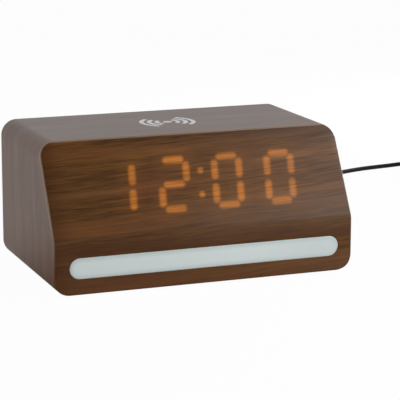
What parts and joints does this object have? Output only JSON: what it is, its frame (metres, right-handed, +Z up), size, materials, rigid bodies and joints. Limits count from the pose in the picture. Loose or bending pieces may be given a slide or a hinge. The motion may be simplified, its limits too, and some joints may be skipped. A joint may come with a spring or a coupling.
{
  "type": "alarm clock",
  "caption": "Wood-look bedside clock with slanted LED figures behind the front film, a light bar, a charging top and a power cord",
  "frame": {"origin": "centre of the feet's plane under the case, on the table", "axes": "+X to the right seen from the front, +Y to the back, +Z up"},
  "size_m": [0.3904, 0.2662, 0.0812],
  "materials": {
    "wood_film": "printed walnut film, satin",
    "fibre_board": "raw wood fibre board",
    "foot_rubber": "matt black rubber",
    "cover_plastic": "fine spark texture, black",
    "button_plastic": "smooth black",
    "milky_plastic": "milky white, satin",
    "bar_plastic": "milky, lit orange",
    "white_plastic": "white",
    "circuit_board": "green solder mask",
    "chip_black": "moulded black",
    "lamp_chip": "lamp chip with yellow window",
    "steel": "zinc plated",
    "nickel": "nickel plated",
    "ferrite": "dark grey ferrite",
    "copper": "enamelled copper wire",
    "cord_black": "smooth black sheath",
    "tie_black": "woven black strap",
    "lead_grey": "grey flat lead"
  },
  "bodies": {
    "root": {"case_band": "wood_film", "front_board": "fibre_board", "front_film": "wood_film", "corner_blocks": "fibre_board", "feet": "foot_rubber", "rear_cover": "cover_plastic", "cover_screws": "steel", "lamp_diffuser": "milky_plastic", "lamp_reflector": "white_plastic", "lamp_screws": "steel", "lamp_board": "circuit_board", "lamp_leds": "lamp_chip", "lamp_lead": "lead_grey", "display_housing": "white_plastic", "display_bars": "bar_plastic", "display_board": "circuit_board", "display_leds": "lamp_chip", "display_screws": "steel", "display_ribbon": "lead_grey", "coil_tray": "cover_plastic", "tray_screws": "steel", "coil_ferrite": "ferrite", "charging_coil": "copper", "charger_board": "circuit_board", "charger_screws": "steel", "charger_parts": "chip_black", "charger_lead": "lead_grey", "main_board": "circuit_board", "main_parts": "chip_black", "board_screws": "steel", "tact_switches": "chip_black", "buzzer": "chip_black", "battery_holder": "chip_black", "battery_contacts": "nickel", "coin_cell": "nickel", "power_socket": "chip_black", "socket_pin": "nickel", "plug_barrel": "nickel", "plug_grip": "cord_black", "power_cord": "cord_black", "cord_coil": "cord_black", "cord_tail": "cord_black", "cord_tie": "tie_black", "usb_grip": "cord_black", "usb_shell": "nickel", "usb_tongue": "white_plastic"},
    "set_key": {"set_button": "button_plastic", "set_plunger": "chip_black"},
    "up_key": {"up_button": "button_plastic", "up_plunger": "chip_black"},
    "down_key": {"down_button": "button_plastic", "down_plunger": "chip_black"},
    "lamp_key": {"lamp_button": "button_plastic", "lamp_plunger": "chip_black"},
    "door": {"battery_door": "cover_plastic"}
  },
  "joints": [
    {"name": "set_press", "type": "slide", "parent": "root", "child": "set_key", "axis": [0, -1, 0], "range_m": [0, 0.0005], "stiffness_N_per_m": 400},
    {"name": "up_press", "type": "slide", "parent": "root", "child": "up_key", "axis": [0, -1, 0], "range_m": [0, 0.0005], "stiffness_N_per_m": 400},
    {"name": "down_press", "type": "slide", "parent": "root", "child": "down_key", "axis": [0, -1, 0], "range_m": [0, 0.0005], "stiffness_N_per_m": 400},
    {"name": "lamp_press", "type": "slide", "parent": "root", "child": "lamp_key", "axis": [0, -1, 0], "range_m": [0, 0.0005], "stiffness_N_per_m": 400},
    {"name": "door_turn", "type": "hinge", "parent": "root", "child": "door", "pos_m": [-0.008, 0.05, 0.0282], "axis": [0, 1, 0], "range_deg": [0, 45]}
  ]
}
